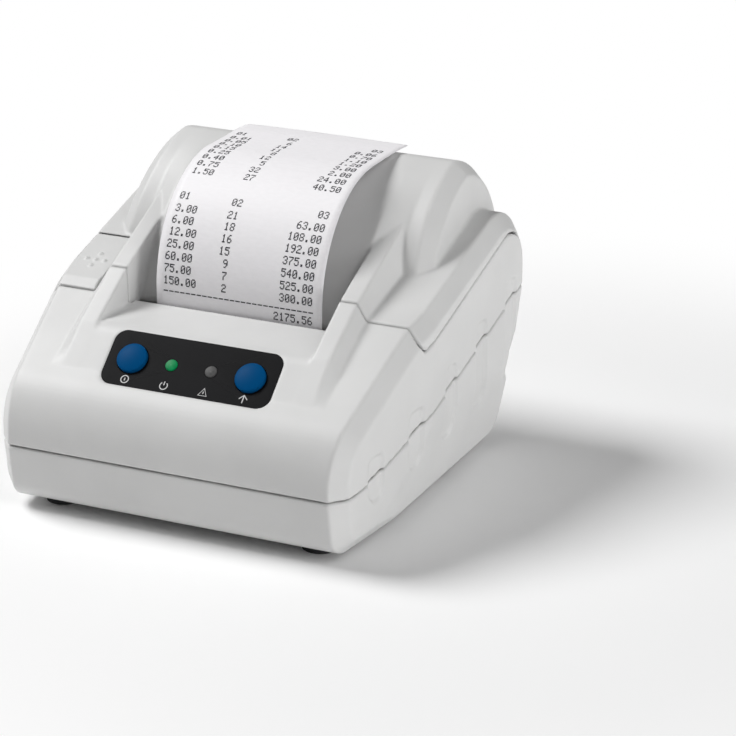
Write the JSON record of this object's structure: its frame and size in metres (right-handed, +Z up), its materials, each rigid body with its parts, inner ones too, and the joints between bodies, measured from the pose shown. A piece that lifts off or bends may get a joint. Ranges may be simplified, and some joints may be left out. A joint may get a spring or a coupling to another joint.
{
  "type": "receipt printer",
  "caption": "Desktop receipt printer with a hinged roll cover, sloping key panel, release lever, geared platen, print head, paper roll and printed paper end.",
  "frame": {"origin": "on the table, under the middle of the casing", "axes": "+Z up, the front with the key panel faces -Y, +X to the right as seen from the front"},
  "size_m": [0.128, 0.13, 0.0974],
  "materials": {
    "casing": "fine moulded texture",
    "cover": "fine moulded texture",
    "lever": "fine moulded texture",
    "overlay": "satin film",
    "keys": "smooth",
    "green_lens": "smooth, lit",
    "grey_lens": "smooth",
    "board": "lacquered",
    "dark_plastic": "plain",
    "steel": "brushed",
    "aluminium": "satin",
    "rubber": "matt",
    "paper": "smooth thermal paper",
    "cardboard": "rough",
    "white_plastic": "plain",
    "brass": "turned"
  },
  "bodies": {
    "base": {"lower_case": "casing", "upper_case": "casing", "panel_overlay": "overlay", "power_lens": "green_lens", "error_lens": "grey_lens", "panel_board": "board", "tact_switches": "dark_plastic", "main_board": "board", "board_chips": "dark_plastic", "board_screws": "steel", "paper_tray": "dark_plastic", "mechanism_frame": "steel", "frame_screws": "steel", "print_head": "aluminium", "head_spring": "steel", "stepper_motor": "steel", "idler_pin": "steel", "tear_bar": "steel", "paper_sensor": "dark_plastic", "case_screws": "steel", "rubber_feet": "rubber", "power_jack": "dark_plastic", "data_port": "dark_plastic", "switch_body": "dark_plastic", "hinge_pins": "steel", "paper_web": "paper", "lever_pin": "steel"},
    "cover": {"top_cover": "cover", "platen_bracket": "steel", "bracket_screws": "steel", "platen_bushes": "white_plastic", "receipt_strip": "paper"},
    "platen": {"platen_roller": "rubber", "platen_shaft": "steel", "platen_gear": "white_plastic"},
    "idler": {"idler_gear": "white_plastic"},
    "pinion": {"motor_pinion": "brass", "motor_shaft": "steel"},
    "roll": {"paper_roll": "paper", "roll_core": "cardboard"},
    "lever": {"release_lever": "lever"},
    "set_key": {"set_key": "keys"},
    "feed_key": {"feed_key": "keys"},
    "rocker": {"power_rocker": "dark_plastic"}
  },
  "joints": [
    {"name": "cover_hinge", "type": "hinge", "parent": "base", "child": "cover", "pos_m": [0, 0.0623, 0.0503], "axis": [-1, 0, 0], "range_deg": [0, 70]},
    {"name": "roll_spin", "type": "hinge", "parent": "base", "child": "roll", "pos_m": [0, 0.0325, 0.058], "axis": [1, 0, 0], "continuous": true},
    {"name": "platen_spin", "type": "hinge", "parent": "cover", "child": "platen", "pos_m": [0, -0.00915, 0.0475], "axis": [1, 0, 0], "continuous": true},
    {"name": "idler_spin", "type": "hinge", "parent": "base", "child": "idler", "pos_m": [-0.037, -0.00915, 0.035], "axis": [1, 0, 0], "continuous": true},
    {"name": "pinion_spin", "type": "hinge", "parent": "base", "child": "pinion", "pos_m": [-0.037, -0.01657, 0.02757], "axis": [1, 0, 0], "continuous": true},
    {"name": "lever_press", "type": "hinge", "parent": "base", "child": "lever", "pos_m": [-0.053, -0.0185, 0.0535], "axis": [-1, 0, 0], "range_deg": [0, 7], "stiffness_Nm_per_rad": 0.25},
    {"name": "set_press", "type": "slide", "parent": "base", "child": "set_key", "axis": [0, 0.66, -0.7513], "range_m": [0, 0.0008], "stiffness_N_per_m": 600},
    {"name": "feed_press", "type": "slide", "parent": "base", "child": "feed_key", "axis": [0, 0.66, -0.7513], "range_m": [0, 0.0008], "stiffness_N_per_m": 600},
    {"name": "power_rock", "type": "hinge", "parent": "base", "child": "rocker", "pos_m": [-0.016, 0.0436, 0.0156], "axis": [1, 0, 0], "range_deg": [0, 16]}
  ],
  "couplings": [
    {"joint": "platen_spin", "follows": "roll_spin", "ratio": 4.5455},
    {"joint": "idler_spin", "follows": "roll_spin", "ratio": -3.0303},
    {"joint": "pinion_spin", "follows": "roll_spin", "ratio": 7.5758}
  ]
}
